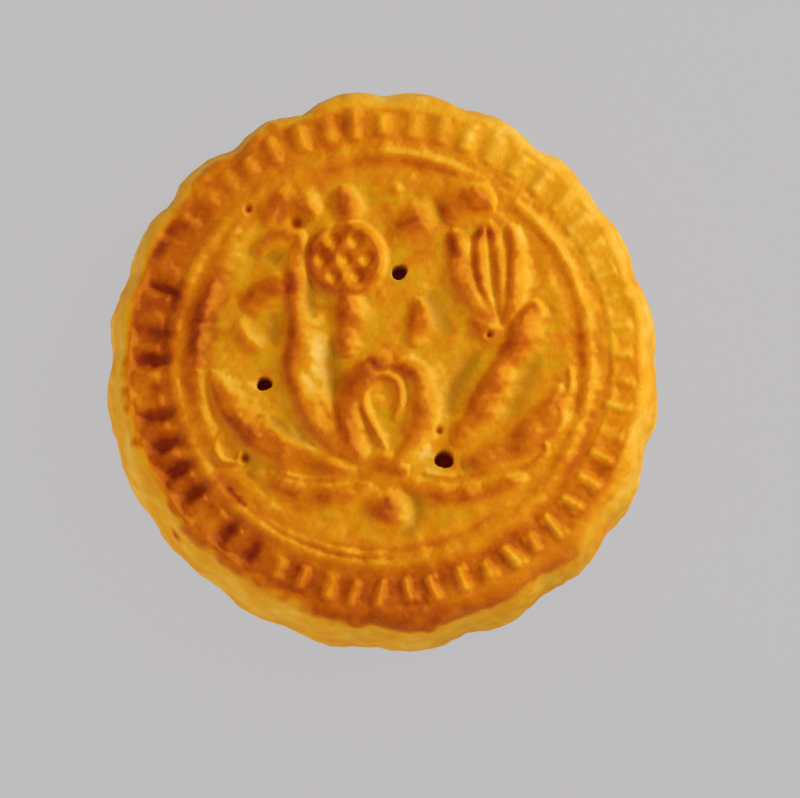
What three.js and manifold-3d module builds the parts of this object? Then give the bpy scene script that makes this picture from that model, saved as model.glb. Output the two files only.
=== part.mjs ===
// A round baked mooncake: a thick pastry disc pressed in a carved mould.
// Its side has shallow scallops, and its face has a border of radial bars between raised rings,
// a spray of lotus leaves round a bud, a seed pod on its stem, an open flower, and three pricked vents.
// Millimetres, +Z up, with the origin at the centre of the flat base. +Y is the top of the stamped design.

import * as THREE from 'three';
import { mergeVertices } from 'three/addons/utils/BufferGeometryUtils.js';
import Module from 'manifold-3d';

const wasm = await Module();
wasm.setup();

const { degToRad, smoothstep } = THREE.MathUtils;

// Driving dimensions.
const RADIUS = 40.0;                 // widest, half way up the side
const BASE_RADIUS = 35.0;            // of the flat underside
const RIM_HEIGHT = 20.3;             // the face where it meets the border
const DOME_RISE = 0.6;               // how much the middle of the face has swollen in the oven
const LOBES = 20;
const BARS = 54;
const SEGMENTS = 5 * LOBES;

const CRUST_COLOUR = 0xd0800f;

// 1 at a bearing, given in degrees clockwise from the top of the design, and falling away over a spread.
// Angles are in radians from +X, anticlockwise seen from above.
function towards(angle, clockwise, spread) {
  const bearing = 90 - THREE.MathUtils.radToDeg(angle);
  const off = THREE.MathUtils.euclideanModulo(bearing - clockwise + 180, 360) - 180;
  return Math.exp(-((off / spread) ** 2));
}

// ---------------------------------------------------------------------------------------------
// The side: scallops, and the unevenness that baking gives them. Bearings are in degrees.

const LOBE_PHASE = 0.7;              // where the first notch lies
const NOTCH_DRIFT = 2.2;             // the notches aren't quite evenly spaced
const NOTCH_DRIFT_AT = 240;
const LOBE_DEPTH = 0.78;             // mean depth of a notch
const LOBE_SWELL = 0.27;             // how far the crown of a lobe stands outside the section
const NOTCH_SOFTNESS = 0.22;         // 0 gives a sharp notch between round lobes
const SCALLOP_START = 33.9;          // the scallops begin outside this radius
const FULL_SCALLOP_RADIUS = 39.2;
const BASE_SCALLOP = 0.6;            // share of the depth that is left at the base
const FULL_SCALLOP_HEIGHT = 8.0;

// Low waves that pull the disc out of round: waves per turn, size, and where one crests.
const OUT_OF_ROUND = [[2, 0.31, 166], [3, 0.28, 136], [4, 0.09, 96], [6, 0.15, 64]];

// Lobes that swelled or sank: where, by how much, and how many degrees wide.
const SWOLLEN = [[352, 0.35, 8], [172, 0.45, 9], [309, 0.4, 8], [65, -0.4, 10]];

// The mould filled better on some sides than on others: the depth varies once and twice a turn.
function notchDepth(turn) {
  const strongSide = 0.20 * Math.cos(turn + degToRad(10));
  const strongPair = 0.33 * Math.cos(2 * (turn + degToRad(28)));
  return LOBE_DEPTH * (1 + strongSide + strongPair);
}

// 0 on the crown of a lobe, 1 in a notch.
function notchShape(turn) {
  const drift = degToRad(LOBE_PHASE) + degToRad(NOTCH_DRIFT) * Math.cos(turn - degToRad(NOTCH_DRIFT_AT));
  const s = Math.sin(0.5 * LOBES * (turn - drift));
  const softened = (value) => Math.hypot(value, NOTCH_SOFTNESS) - NOTCH_SOFTNESS;
  return 1 - softened(s) / softened(1);
}

function sideOffset(angle, r, z) {
  const turn = Math.PI / 2 - angle;
  let offset = LOBE_SWELL - notchDepth(turn) * notchShape(turn);
  for (const [waves, size, crest] of OUT_OF_ROUND) {
    offset += size * Math.cos(waves * (turn - degToRad(crest)));
  }
  for (const [bearing, size, spread] of SWOLLEN) {
    offset += size * towards(angle, bearing, spread);
  }
  const upTheSide = BASE_SCALLOP + (1 - BASE_SCALLOP) * smoothstep(z, 0, FULL_SCALLOP_HEIGHT);
  return smoothstep(r, SCALLOP_START, FULL_SCALLOP_RADIUS) * upTheSide * offset;
}

// ---------------------------------------------------------------------------------------------
// The face: three raised rings and the rail of the border, on a slight dome.

// From the inside outwards. The inner ring is bold on the left only, the middle one is lost in two places
// there, and the third ring, which is the inner edge of the border, shows on the right.
const RINGS = [
  { radius: 26.7, halfWidth: 1.3, height: (angle) => 0.10 + 0.60 * towards(angle, 275, 42) },
  { radius: 29.9, halfWidth: 1.1, height: (angle) => 0.5 * (1 - ringLoss(angle)) },
  { radius: 32.8, halfWidth: 0.8, height: (angle) => 0.08 + 0.30 * towards(angle, 85, 42) },
];
const RINGS_OFF = 0.6;               // how far the first two rings sit to the left of the cake's middle
const RINGS_OFF_FADES = [31.0, 32.5];          // the shift dies out between these radii
const RAIL_RADIUS = 37.0;
const RAIL_CREST = 20.45;
const RAIL_FOOT = 36.0;
const RAIL_LOSS = 0.4;               // how far the rail has slumped, all round but on the left
const RAIL_SLUMP_FROM = 17.0;        // the height from which the shoulder slumps with it
const BAND_DROP = 0.35;              // the border is pressed a little deeper than the field
const WELL_DEPTH = 0.5;
const DOME_SEGMENTS = 30;
const DOME_BENDS = [18, 9];          // the radii at which the dome's facets meet

function ringLoss(angle) {
  return 0.8 * towards(angle, 276, 11) + 0.6 * towards(angle, 251, 11);
}

function faceHeight(r) {
  const dome = DOME_RISE * (1 - smoothstep(r, 0, RINGS[0].radius));
  const band = BAND_DROP * smoothstep(r, RINGS[1].radius, RINGS[2].radius + 0.6);
  return RIM_HEIGHT + dome - band;
}

// Half of the cake's section, from the centre of the base round to the field that the rings enclose.
// The field is left as a shallow well, which the dome fills.
function sectionPoints() {
  const points = [
    [0, 0], [BASE_RADIUS, 0], [BASE_RADIUS + 1.9, 0.5], [BASE_RADIUS + 3.4, 1.9], [BASE_RADIUS + 4.5, 4.4],
    [RADIUS, 8.6], [RADIUS - 0.1, 12.6], [RADIUS - 0.5, 15.8], [RADIUS - 1.2, 18.2], [RADIUS - 2.0, 19.9],
    [RAIL_RADIUS, RAIL_CREST],
    [RAIL_FOOT, faceHeight(RAIL_FOOT)],
  ];
  const [inner, middle, border] = RINGS;
  const plain = (r) => [r, faceHeight(r)];
  const between = (a, b) => plain((a.radius + b.radius) / 2);
  const innerFoot = inner.radius - inner.halfWidth;
  points.push(plain(border.radius + border.halfWidth), plain(border.radius), between(border, middle),
    plain(middle.radius), plain(middle.radius - middle.halfWidth), plain(inner.radius), plain(innerFoot));
  points.push([innerFoot - 0.1, RIM_HEIGHT - WELL_DEPTH], [0, RIM_HEIGHT - WELL_DEPTH]);
  return points;
}

function turned(points, segments) {
  const outline = points.map(([r, z]) => new THREE.Vector2(r, z));
  return new THREE.LatheGeometry(outline, segments).rotateX(Math.PI / 2);
}

function domeGeometry() {
  const edge = RINGS[0].radius - RINGS[0].halfWidth + 0.2;
  const bottom = RIM_HEIGHT - 2 * WELL_DEPTH;
  const top = [edge, ...DOME_BENDS, 0].map((r) => [r, faceHeight(r)]);
  return turned([[0, bottom], [edge, bottom], ...top], DOME_SEGMENTS);
}

// How far a point of the face is moved to the left with the rings.
function ringShift(r, z) {
  const [inner] = RINGS;
  if (z < FULL_SCALLOP_HEIGHT) return 0;
  const outside = smoothstep(r, inner.radius - inner.halfWidth, inner.radius);
  return RINGS_OFF * outside * (1 - smoothstep(r, ...RINGS_OFF_FADES));
}

// How much lower the rail is than its crest.
function railLoss(angle, r, z) {
  const shoulder = r > RAIL_RADIUS - 0.1 ? smoothstep(z, RAIL_SLUMP_FROM, RAIL_CREST) : 0;
  return shoulder * RAIL_LOSS * (1 - towards(angle, 275, 55));
}

function ringAt(r, z) {
  if (z < FULL_SCALLOP_HEIGHT) return undefined;
  return RINGS.find(({ radius }) => Math.abs(r - radius) < 1e-3);
}

function discGeometry() {
  const disc = turned(sectionPoints(), SEGMENTS);
  const position = disc.attributes.position;
  for (let i = 0; i < position.count; i++) {
    const r = Math.hypot(position.getX(i), position.getY(i));
    if (r < 1e-6) continue;
    const z = position.getZ(i);
    const angle = Math.atan2(position.getY(i), position.getX(i));
    const ring = ringAt(r, z);
    const lift = (ring ? ring.height(angle) : 0) - railLoss(angle, r, z);
    const scale = 1 + sideOffset(angle, r, z) / r;
    const x = position.getX(i) * scale - ringShift(r, z);
    position.setXYZ(i, x, position.getY(i) * scale, z + lift);
  }
  return disc;
}

// ---------------------------------------------------------------------------------------------
// Raised strokes: the bars of the border, and the leaves, petals and stems of the design.

const SUNK = 0.12;                   // keeps a raised piece's widest line clear of the face's own facets
const LEAN_TO = degToRad(20);        // ridges are broader on the side that left the mould last
const RELIEF = 1.4;                  // the raised lines stand this much taller than their nominal height
const FOOT = 1.5;                    // and their foot is this much wider than their nominal half width
const STROKE_STEP = 2.4;             // length of a stroke's facets
const FEWEST_STEPS = 7;

// A ball drawn out along a curve on the face: it tapers to a point at both ends, and has a round back.
// A higher taper makes longer points. Lean is how much broader it is on one side than on the other.
function strokeGeometry([path, halfWidth, height], taper, lean) {
  const curve = new THREE.SplineCurve(path.map(([x, y]) => new THREE.Vector2(x, y)));
  const steps = Math.max(FEWEST_STEPS, Math.round(curve.getLength() / STROKE_STEP));
  const ball = new THREE.SphereGeometry(1, 6, steps);
  const position = ball.attributes.position;
  for (let i = 0; i < position.count; i++) {
    const t = Math.acos(THREE.MathUtils.clamp(-position.getY(i), -1, 1)) / Math.PI;
    const ring = Math.hypot(position.getX(i), position.getZ(i));
    const swell = ring < 1e-6 ? 0 : Math.pow(4 * t * (1 - t), taper) / ring;
    const at = curve.getPointAt(t);
    const way = curve.getTangentAt(t);
    const side = Math.sign(position.getX(i)) * (way.y * Math.cos(LEAN_TO) - way.x * Math.sin(LEAN_TO));
    const across = position.getX(i) * swell * FOOT * halfWidth * (1 + lean * side);
    const up = position.getZ(i) * swell * (RELIEF * height + SUNK) - SUNK;
    const x = at.x + way.y * across;
    const y = at.y - way.x * across;
    position.setXYZ(i, x, y, faceHeight(Math.hypot(x, y)) + up);
  }
  return ball;
}

const BAR_START = 32.5;
const BAR_END = 36.4;
const BAR_WIDTH = 3.0;               // at its root, which is as far below the face as its top is above
const BAR_TOP = 0.45;                // share of that width that is left at the top
const BAR_HEIGHT = 0.78;
const FIRST_BAR = 0.25;              // where the first bar would lie in an even spacing, in spacings from +X
const BAR_TURN = -1.4;               // degrees clockwise by which the bars run ahead of an even spacing:
const BAR_DRIFT = 1.9;               // a constant, and one cosine round the turn
const BAR_DRIFT_AT = 105;

// The radial bars, each a little wider or higher than the next. They narrow towards their tops. They are
// broad and low on the lower left, where dough clogged the mould, and low in two worn places.
function barGeometries() {
  const bars = [];
  for (let i = 0; i < BARS; i++) {
    const even = 2 * Math.PI * (i + FIRST_BAR) / BARS;
    const ahead = BAR_TURN + BAR_DRIFT * Math.cos(Math.PI / 2 - even - degToRad(BAR_DRIFT_AT));
    const angle = even - degToRad(ahead);
    const clogged = towards(angle, 240, 38);
    const worn = 0.3 * clogged + 0.6 * towards(angle, 297, 20) + 0.3 * towards(angle, 78, 30);
    const width = BAR_WIDTH + 0.3 * Math.sin(2.3 * i + 1) + 0.6 * clogged;
    const height = (BAR_HEIGHT + 0.1 * Math.sin(1.7 * i)) * (1 - worn);
    const bar = new THREE.BoxGeometry(BAR_END - BAR_START, width, 2 * height);
    const position = bar.attributes.position;
    for (let v = 0; v < position.count; v++) {
      if (position.getZ(v) > 0) position.setY(v, BAR_TOP * position.getY(v));
    }
    bars.push(bar.translate((BAR_START + BAR_END) / 2, 0, faceHeight(BAR_END)).rotateZ(angle));
  }
  return bars;
}

// Shallow pits between the bars on the left: where, in degrees clockwise from the top, and how deep.
const PITS = [
  [213.5, 0.44], [221.5, 0.44], [234, 0.50], [241, 0.50], [248, 0.55],
  [255, 0.50], [269, 0.55], [276, 0.28], [287.5, 0.44],
];
const PIT_RADIUS = 33.6;
const PIT_HALF_LENGTH = 2.4;
const PIT_HALF_WIDTH = 1.0;

function borderPits() {
  return PITS.map(([bearing, depth]) => new THREE.SphereGeometry(1, 8, 6)
    .rotateX(Math.PI / 2)
    .scale(PIT_HALF_LENGTH, PIT_HALF_WIDTH, depth)
    .translate(PIT_RADIUS, 0, faceHeight(PIT_RADIUS))
    .rotateZ(degToRad(90 - bearing)));
}

// Each stroke is its path, its half width and its height. x is to the right and y up, seen from above.
// The spray at the foot of the design.
const LEAVES = [
  [[[-12.6, 8.6], [-12.8, 2.4], [-12.6, -3.2], [-11.0, -8.4], [-7.6, -12.8], [-1.6, -16.0]], 2.3, 1.2],
  [[[-25.0, -1.8], [-23.0, -7.0], [-19.4, -11.3], [-13.0, -14.9], [-3.0, -17.0]], 2.2, 1.0],
  [[[-19.4, -16.6], [-13.2, -19.4], [-7.4, -20.2], [-1.6, -18.4]], 1.6, 0.75],
  [[[17.8, 1.6], [15.3, -3.6], [13.0, -8.2], [9.6, -12.6]], 1.9, 1.05],
  [[[25.4, -3.8], [23.4, -8.0], [19.8, -11.8], [15.8, -14.2], [11.2, -15.8]], 2.2, 1.0],
  [[[20.6, -17.2], [14.8, -19.6], [8.8, -20.2], [2.4, -18.4]], 1.6, 0.8],
];

// The bud in the middle: two petals that close over a loop, and the cup that they stand in.
const BUD = [
  [[[-4.4, -14.6], [-5.6, -9.0], [-4.4, -4.2], [-1.8, -1.6], [1.4, -1.0]], 1.8, 1.1],
  [[[0.6, -1.0], [3.9, -2.3], [5.6, -5.9], [5.3, -10.2], [3.4, -14.0], [1.2, -16.2]], 1.6, 1.1],
  [[[0.4, -13.6], [-1.5, -10.4], [-3.0, -7.4], [-2.9, -4.7], [-0.6, -3.0], [1.8, -3.8], [2.2, -6.6],
    [1.4, -9.4]], 0.75, 0.8],
  [[[-3.8, -16.8], [0.2, -15.9], [4.2, -17.2]], 1.5, 0.9],
];

// The pod's stem, with its small leaves.
const STEM = [
  [[[-12.2, 18.4], [-12.8, 14.4], [-13.2, 10.2], [-13.3, 5.4]], 1.6, 1.0],
  [[[-20.4, 7.2], [-17.0, 9.8], [-12.8, 11.4]], 1.7, 1.0],
  [[[-19.0, 15.4], [-15.4, 17.4], [-11.2, 17.8]], 1.3, 0.85],
  [[[-17.6, 19.4], [-15.4, 22.6], [-12.4, 23.0], [-9.6, 20.6]], 1.6, 0.95],
  [[[-6.2, 25.4], [-5.6, 22.8], [-5.8, 19.4]], 1.6, 0.95],
  [[[-5.6, 10.0], [-5.4, 5.0], [-5.8, -0.2]], 1.7, 1.0],
  [[[-21.0, 5.8], [-20.2, 2.8], [-17.4, 1.0]], 1.1, 0.4],
  [[[-22.6, 15.6], [-21.4, 19.4], [-18.8, 22.2]], 1.0, 0.5],
];

// The open flower, above the bud on the right.
const FLOWER = [
  [[[10.0, 19.0], [10.5, 13.6], [12.0, 8.8], [16.4, 4.6]], 1.7, 1.05],
  [[[14.8, 20.2], [13.5, 15.6], [14.2, 10.2], [16.4, 5.0]], 1.0, 0.85],
  [[[14.8, 20.2], [16.3, 15.6], [16.6, 10.2], [16.8, 5.0]], 1.0, 0.85],
  [[[18.0, 19.8], [18.8, 14.4], [18.5, 9.0], [17.0, 4.2]], 1.4, 0.95],
  [[[22.4, 8.2], [20.4, 5.0], [18.5, 1.8], [16.9, -1.6]], 2.0, 1.1],
  [[[8.4, 20.6], [11.8, 22.8], [16.0, 21.8]], 2.2, 1.0],
  [[[4.6, 8.8], [4.8, 5.0], [4.0, 1.4]], 1.6, 0.8],
  [[[12.4, 6.4], [15.6, 3.2], [18.6, 1.4]], 1.6, 0.8],
];

// How strongly each group's strokes taper, and how much they lean.
const GROUPS = [
  { strokes: LEAVES, taper: 0.42, lean: 0.38 },
  { strokes: BUD, taper: 0.28, lean: 0.12 },
  { strokes: STEM, taper: 0.36, lean: 0.15 },
  { strokes: FLOWER, taper: 0.36, lean: 0.15 },
];

function designGeometries() {
  return GROUPS.flatMap(({ strokes, taper, lean }) =>
    strokes.map((line) => strokeGeometry(line, taper, lean)));
}

// A flattened ball on the face.
function domedPad([x, y], radius, rise) {
  return new THREE.SphereGeometry(1, 10, 6)
    .rotateX(Math.PI / 2)
    .scale(radius, radius, rise)
    .translate(x, y, faceHeight(Math.hypot(x, y)) - SUNK);
}

// The seed pod: a round pad, with seven holes pressed into it.
const POD = { centre: [-5.7, 14.3], halfX: 6.3, halfY: 6.1, rise: 1.4, edge: 0.85 };
const SEED_SPACING = 3.2;
const SEED_SQUASH = 0.95;
const SEED_HOLE = 0.85;
const SEED_DEPTH = 0.9;              // below the top of the pod

function podGeometry() {
  const [x, y] = POD.centre;
  const pad = new THREE.CylinderGeometry(POD.edge, 1, 2 * POD.rise, 20)
    .rotateX(Math.PI / 2)
    .scale(POD.halfX, POD.halfY, 1);
  return pad.translate(x, y, faceHeight(Math.hypot(x, y)));
}

function seedPlaces() {
  const places = [POD.centre];
  for (let i = 0; i < 6; i++) {
    const angle = degToRad(60 * i);
    const [x, y] = POD.centre;
    places.push([x + SEED_SPACING * Math.cos(angle), y + SEED_SQUASH * SEED_SPACING * Math.sin(angle)]);
  }
  return places;
}

// Two beads between the pod and the flower, and a boss below the bud.
const BEADS = [
  { centre: [4.0, 19.9], radius: 3.4, rise: 1.5 },
  { centre: [1.6, 24.6], radius: 1.3, rise: 0.6 },
  { centre: [0.2, -22.3], radius: 3.4, rise: 1.2 },
];

function beadGeometries() {
  return BEADS.map(({ centre, radius, rise }) => domedPad(centre, radius, rise));
}

// ---------------------------------------------------------------------------------------------
// Holes: three vents pricked before baking, and a few burst bubbles.

// Each vent and each bubble is its place and its radius.
const VENTS = [[[2.2, 12.55], 1.18], [[-17.2, -3.75], 1.12], [[8.6, -14.8], 1.40]];
const VENT_DEPTH = 3.4;
const BUBBLES = [
  [[-19.6, 21.8], 0.55], [[-12.6, 19.9], 0.95], [[15.1, 3.2], 0.5], [[7.9, -10.7], 0.5],
  [[-19.9, -14.6], 0.65],
];
const BUBBLE_DEPTH = 0.9;
const HOLE_TAPER = 0.65;             // a hole's floor is this share of the width of its mouth
const ABOVE = 2.0;                   // a cutter starts this far above the plain face

// A round cutter whose floor lies so far below the plain face. It lies above it where depth is negative.
function hole([x, y], radius, depth, sides) {
  const top = faceHeight(Math.hypot(x, y)) + ABOVE;
  return new THREE.CylinderGeometry(radius, HOLE_TAPER * radius, depth + ABOVE, sides)
    .rotateX(Math.PI / 2)
    .translate(x, y, top - (depth + ABOVE) / 2);
}

function holeGeometries() {
  return [
    ...VENTS.map(([place, radius]) => hole(place, radius, VENT_DEPTH, 12)),
    ...BUBBLES.map(([place, radius]) => hole(place, radius, BUBBLE_DEPTH, 6)),
    ...seedPlaces().map((place) => hole(place, SEED_HOLE, SEED_DEPTH - POD.rise, 7)),
  ];
}

// ---------------------------------------------------------------------------------------------
// One solid: everything raised is joined to the disc, and the holes are cut.

function toSolid(geometry) {
  const bare = geometry.clone();
  bare.deleteAttribute('normal');
  bare.deleteAttribute('uv');
  const merged = mergeVertices(bare, 1e-4);
  return new wasm.Manifold(new wasm.Mesh({
    numProp: 3,
    vertProperties: new Float32Array(merged.attributes.position.array),
    triVerts: new Uint32Array(merged.index.array),
  }));
}

function toGeometry(solid) {
  const mesh = solid.getMesh();
  const geometry = new THREE.BufferGeometry();
  geometry.setAttribute('position', new THREE.BufferAttribute(mesh.vertProperties, 3));
  geometry.setIndex(new THREE.BufferAttribute(mesh.triVerts, 1));
  geometry.computeVertexNormals();
  return geometry;
}

function mooncakeGeometry() {
  const raised = [...barGeometries(), ...designGeometries(), podGeometry(), ...beadGeometries()];
  const cut = [...borderPits(), ...holeGeometries()];
  let solid = toSolid(discGeometry()).add(toSolid(domeGeometry()));
  for (const geometry of raised) {
    solid = solid.add(toSolid(geometry));
  }
  for (const geometry of cut) {
    solid = solid.subtract(toSolid(geometry));
  }
  return toGeometry(solid);
}

const crust = new THREE.MeshStandardMaterial({ color: CRUST_COLOUR, roughness: 0.5, metalness: 0 });
const mooncake = new THREE.Mesh(mooncakeGeometry(), crust);
mooncake.name = 'mooncake';

const group = new THREE.Group();
group.add(mooncake);

export default group;
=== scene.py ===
# %% [markdown]
# # A baked mooncake, worked out as one skin
#
# A mooncake of this kind is a ball of sweet paste in a thin pastry, pressed into a carved wooden
# mould and baked. The mould leaves a low disc with a fluted side, and a face full of rounded ridges.
# The oven then softens every edge, lifts the middle a little and browns what stands up.
#
# It could be sculpted by hand, or displaced from a painted picture. Here every ridge is a formula
# instead, so one list of named sizes makes the shape, and the same numbers also say where the crust
# is dark. Lengths are in millimetres until the mesh is made. A bearing is in degrees clockwise from
# the top of the design.

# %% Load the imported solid, which is the fixed frame
import math

import bpy
import numpy as np
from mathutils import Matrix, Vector


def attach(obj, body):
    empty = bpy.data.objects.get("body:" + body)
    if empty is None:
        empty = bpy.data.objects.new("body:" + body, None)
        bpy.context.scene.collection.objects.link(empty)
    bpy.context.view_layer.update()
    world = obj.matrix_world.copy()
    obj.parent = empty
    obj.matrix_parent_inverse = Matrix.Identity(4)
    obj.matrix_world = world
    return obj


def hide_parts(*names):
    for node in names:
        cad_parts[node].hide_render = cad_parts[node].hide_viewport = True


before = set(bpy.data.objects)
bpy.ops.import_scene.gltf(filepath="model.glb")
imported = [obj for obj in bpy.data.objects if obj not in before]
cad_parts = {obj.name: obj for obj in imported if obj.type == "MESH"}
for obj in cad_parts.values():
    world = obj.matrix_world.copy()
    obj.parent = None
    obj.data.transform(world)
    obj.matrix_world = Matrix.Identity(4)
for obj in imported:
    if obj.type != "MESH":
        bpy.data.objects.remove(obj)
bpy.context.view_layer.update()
MM = 0.001

# %% [markdown]
# ## Small helpers
#
# Baked dough is never quite even. Random lumps could come from a noise texture, but a shape needs
# them as numbers, so they are summed here from sine waves that run in random directions. The seed is
# fixed, so the same cake comes out each time. What differs from one side of the cake to the other is a
# soft bump round a bearing.

# %% Smooth steps and lumps
LUMP_WAVES = 28  # sine waves in one field of lumps
WAVE_LENGTHS = (0.7, 1.5)  # the shortest and longest, as shares of the size


def smoothstep(value, low, high):
    """0 below low, 1 above high, and 3t^2 - 2t^3 in between."""
    t = np.clip((value - low) / (high - low), 0.0, 1.0)
    return t * t * (3.0 - 2.0 * t)


def bell(distance, width, power=2):
    """exp(-|distance / width|^power), so 1 at the middle. More power gives a flat top and steep sides."""
    return np.exp(-(np.abs(distance / width) ** power))


def lumps(points, size, seed):
    """The sum of sine waves about size long, in random directions, scaled to spread by 1."""
    random = np.random.default_rng(seed)
    way = random.normal(size=(LUMP_WAVES, 3))
    way /= np.linalg.norm(way, axis=1, keepdims=True)
    turns = 2 * np.pi / (size * random.uniform(*WAVE_LENGTHS, LUMP_WAVES))
    phase = random.uniform(0, 2 * np.pi, LUMP_WAVES)
    return np.sin(points @ (way * turns[:, None]).T + phase).sum(axis=1) * math.sqrt(2 / LUMP_WAVES)


def layered(points, layers):
    """The sum of height * lumps(size, seed) over layers of (size, height, seed)."""
    return sum(height * lumps(points, size, seed) for size, height, seed in layers)


def span(values):
    """The least and the greatest value, as text."""
    return f"{np.min(values):.2f} to {np.max(values):.2f}"


print("lumps:", span(lumps(np.linspace([0, 0, 0], [80, 0, 0], 99), 5.0, 21)))


# %% Bumps round a bearing
def towards(angle, clockwise, spread):
    """1 at a bearing, given in degrees clockwise from the top, and falling away over spread degrees."""
    off = (np.degrees(np.pi / 2 - angle) - clockwise + 180) % 360 - 180
    return bell(off, spread)


def around(angle, marks):
    """The sum of size * towards(bearing, spread) over marks of (bearing, size, spread)."""
    return sum(size * towards(angle, bearing, spread) for bearing, size, spread in marks)


every_degree = np.radians(np.arange(360))
print("a bump on the right:", span(towards(every_degree, 90, 20)))

# %% Curves
SPLINE_STEPS = 40  # steps of the cubic between two points of a path


def spline(path, count):
    """Points evenly spaced along the smooth curve through path.

    Between two points a and b the curve is the cubic whose slope at each end is half the step from
    the point before to the point after.
    """
    p = np.asarray(path, float)
    p = np.vstack([p[0], p, p[-1]])
    t = np.linspace(0, 1, SPLINE_STEPS, endpoint=False)[:, None]
    pieces = []
    for before, a, b, after in zip(p, p[1:], p[2:], p[3:]):
        slope_a, slope_b = (b - before) / 2, (after - a) / 2
        pieces.append(
            (2 * a - 2 * b + slope_a + slope_b) * t**3
            + (3 * b - 3 * a - 2 * slope_a - slope_b) * t**2
            + slope_a * t
            + a
        )
    fine = np.vstack([*pieces, p[-1:]])
    along = np.concatenate([[0], np.cumsum(np.linalg.norm(np.diff(fine, axis=0), axis=1))])
    even = np.linspace(0, along[-1], count)
    return np.stack([np.interp(even, along, fine[:, k]) for k in range(p.shape[1])], axis=1)


print("a straight run of five points:", spline([[0, 0], [4, 0]], 5)[:, 0])

# %% [markdown]
# ## Sizes
#
# These are the sizes of the mould and of what baking does to it. The face is a slight dome, the
# border lies a little lower, and four rings and a rail stand on it.

# %% Named sizes, in millimetres
RADIUS = 40.0
BASE_RADIUS = 35.0
RIM_HEIGHT = 20.3
DOME_RISE = 0.6
BARS = 54

INNER_RING, FINE_RING, MIDDLE_RING, BORDER_RING = 26.7, 28.7, 29.9, 32.8
BAND_INSIDE, BAND_OUTSIDE = 32.3, 36.7
BAND_DROP, BAND_LEVEL_FROM = 0.35, 33.4  # how low the border lies, and from where
RAIL_RADIUS = 37.0
RAIL_CREST = 20.45


def face_height(r):
    """The plain face: a dome that dies out at the inner ring, and a border pressed slightly lower."""
    dome = DOME_RISE * (1 - smoothstep(r, 0, INNER_RING))
    band = BAND_DROP * smoothstep(r, MIDDLE_RING, BAND_LEVEL_FROM)
    return RIM_HEIGHT + dome - band


print("height of the plain face:", span(face_height(np.linspace(0, RAIL_RADIUS, 99))))

# %% [markdown]
# ## The side
#
# The mould's wall has twenty shallow flutes, so the cake's side has twenty lobes with a softened notch
# between each two. A plain sine wave would make them all alike. Here the spacing of the notches drifts,
# their depth varies round the turn, low waves pull the disc out of round, and a few lobes have swollen
# or sunk, because paste fills a mould unevenly and a cake slumps a little as it bakes.

# %% Sizes of the side
LOBES = 20
LOBE_PHASE = 0.7  # the bearing of the first notch
NOTCH_SOFTNESS = 0.22  # 0 gives a sharp notch between round lobes
LOBE_DEPTH, LOBE_SWELL = 0.78, 0.27

# Waves round the turn: how many, how high, and the bearing of a crest.
NOTCH_DRIFT = [(1, 2.2, 240)]  # degrees by which the notches run ahead
DEPTH_WAVES = [(1, 0.20, 350), (2, 0.33, 332)]
OUT_OF_ROUND = [(2, 0.31, 166), (3, 0.28, 136), (4, 0.09, 96), (6, 0.15, 64)]

# Lobes that swelled or sank: bearing, by how much, and how many degrees wide.
SWOLLEN = [(352, 0.35, 8), (172, 0.45, 9), (309, 0.4, 8), (65, -0.4, 10)]

BASE_SCALLOP = 0.6  # share of the flutes' depth that is left at the base
FLUTES_DEEP_ABOVE = 8.0  # the height from which they have all of it
FLUTES_FROM, FLUTES_DEEP_FROM = 33.9, 39.2  # radii between which they grow

# The side's section, from the rail down: radius and height.
SIDE_SECTION = [(RAIL_RADIUS, RAIL_CREST), (38.0, 19.9), (38.8, 18.2), (39.5, 15.8), (39.9, 12.6),
                (RADIUS, 8.6), (39.5, 4.4), (38.4, 1.9), (36.9, 0.5), (BASE_RADIUS, 0.0)]
print(len(SIDE_SECTION), "points down the side's section")


# %% Lobes
def waves_round(turn, waves):
    """The sum of height * cos(number * (turn - crest)) over waves of (number, height, crest)."""
    return sum(height * np.cos(number * (turn - math.radians(crest))) for number, height, crest in waves)


def lobe_offset(angle):
    """How far the outline stands outside a circle at each angle.

    The notches are 1 - |sin| of half the turn times LOBES, with the point of the sine softened, times a
    depth that varies once and twice a turn. Waves and swollen lobes are added to that.
    """
    clockwise = np.degrees(np.pi / 2 - angle)
    turn = np.radians(clockwise)
    s = np.sin(0.5 * LOBES * np.radians(clockwise - LOBE_PHASE - waves_round(turn, NOTCH_DRIFT)))
    softened = np.hypot(s, NOTCH_SOFTNESS) - NOTCH_SOFTNESS
    notch = 1 - softened / (math.hypot(1, NOTCH_SOFTNESS) - NOTCH_SOFTNESS)
    depth = LOBE_DEPTH * (1 + waves_round(turn, DEPTH_WAVES))
    return LOBE_SWELL - depth * notch + waves_round(turn, OUT_OF_ROUND) + around(angle, SWOLLEN)


def side_offset(angle, r, z):
    """The lobes' offset, which grows from nothing inside the border and is shallower near the base."""
    up_the_side = BASE_SCALLOP + (1 - BASE_SCALLOP) * smoothstep(z, 0, FLUTES_DEEP_ABOVE)
    return smoothstep(r, FLUTES_FROM, FLUTES_DEEP_FROM) * up_the_side * lobe_offset(angle)


print("radius of the outline:", span(RADIUS + lobe_offset(every_degree)))

# %% [markdown]
# ## The stamped design
#
# The design is lotus ornament: a spray of leaves round a bud, a seed pod on its stem, and an open
# flower. Each leaf, petal or stem is a stroke. A stroke is a curve with a half width and a height,
# and it tapers at both ends. Where strokes cross they melt together, as dough does, so their heights
# are joined by a soft maximum and not added up. Where two ridges stand close, a narrow valley is left
# between them, deeper than the open field.

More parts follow.
